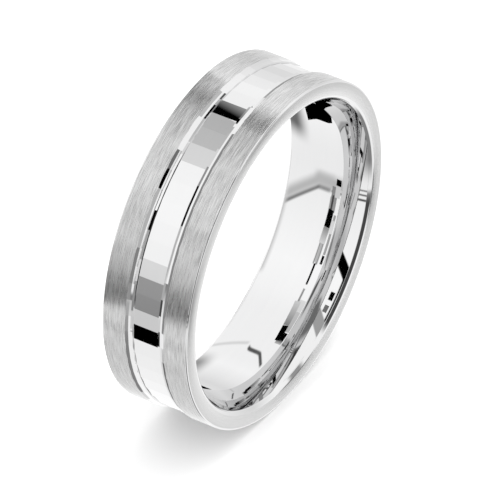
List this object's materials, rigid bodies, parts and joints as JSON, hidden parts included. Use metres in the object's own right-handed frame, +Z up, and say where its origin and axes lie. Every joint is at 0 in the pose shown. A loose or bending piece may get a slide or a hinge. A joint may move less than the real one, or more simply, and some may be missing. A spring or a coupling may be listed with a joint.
{
  "type": "wedding band",
  "caption": "Comfort-fit wedding band with two satin rails either side of a shallow polished channel floored with flat mirror facets.",
  "frame": {"origin": "centre of the finger bore, midway between the side faces", "axes": "+Y along the finger, +Z up with the band standing on its edge, +X completes the frame"},
  "size_m": [0.0224, 0.006, 0.0224],
  "materials": {
    "polished_alloy": "mirror polished white alloy",
    "satin_alloy": "satin, brushed round the band, with polished side face and bevel"
  },
  "bodies": {
    "root": {"comfort_fit_sleeve": "polished_alloy", "facet_band": "polished_alloy", "rail_far": "satin_alloy", "rail_near": "satin_alloy"}
  },
  "joints": []
}
